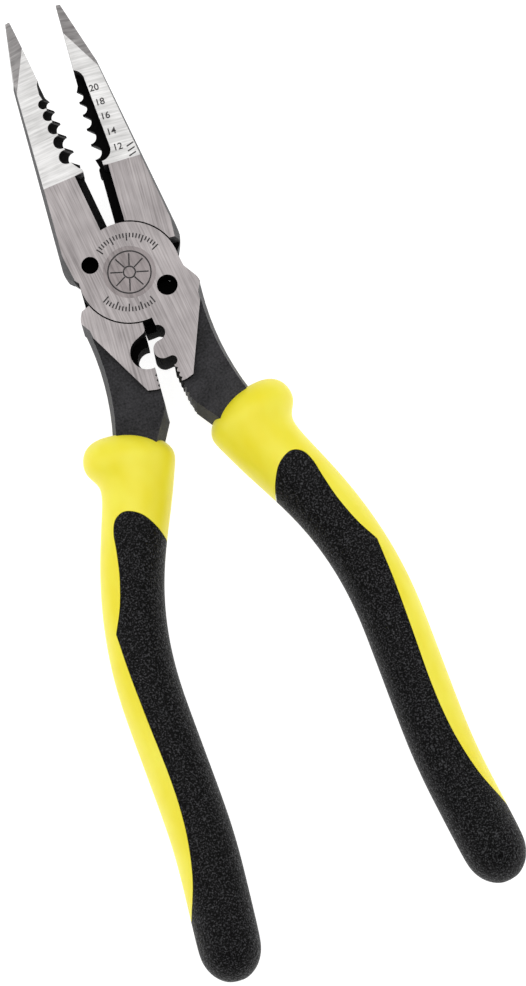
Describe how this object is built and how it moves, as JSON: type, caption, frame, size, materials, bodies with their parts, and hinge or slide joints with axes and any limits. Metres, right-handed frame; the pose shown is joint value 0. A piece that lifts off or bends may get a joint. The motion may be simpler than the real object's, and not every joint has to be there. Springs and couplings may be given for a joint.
{
  "type": "needle nose pliers",
  "caption": "Long nose hand pliers with side cutters, wire stripping notches, bolt shearing holes, a crimper behind the joint and two-shot cushioned grips.",
  "frame": {"origin": "on the pivot axis, at the rear face of the joint", "axes": "+Y from the pivot to the nose along the middle of the open jaws, +Z out of the front face of the joint along the pivot axis, +X to the right seen from the front"},
  "size_m": [0.0716, 0.2087, 0.0165],
  "materials": {
    "forged_steel": "ground faces on a black oxide forging",
    "rivet_steel": "head ground flush with the joint",
    "grip_hard": "smooth satin moulding",
    "grip_soft": "fine moulded grain"
  },
  "bodies": {
    "front": {"front_half": "forged_steel", "pivot_rivet": "rivet_steel", "right_grip_sleeve": "grip_hard", "right_grip_overmould": "grip_soft"},
    "rear": {"rear_half": "forged_steel", "left_grip_sleeve": "grip_hard", "left_grip_overmould": "grip_soft"}
  },
  "joints": [
    {"name": "jaw_pivot", "type": "hinge", "parent": "front", "child": "rear", "pos_m": [0, 0, 0], "axis": [0, 0, -1], "range_deg": [-9.7, 26.2]}
  ]
}
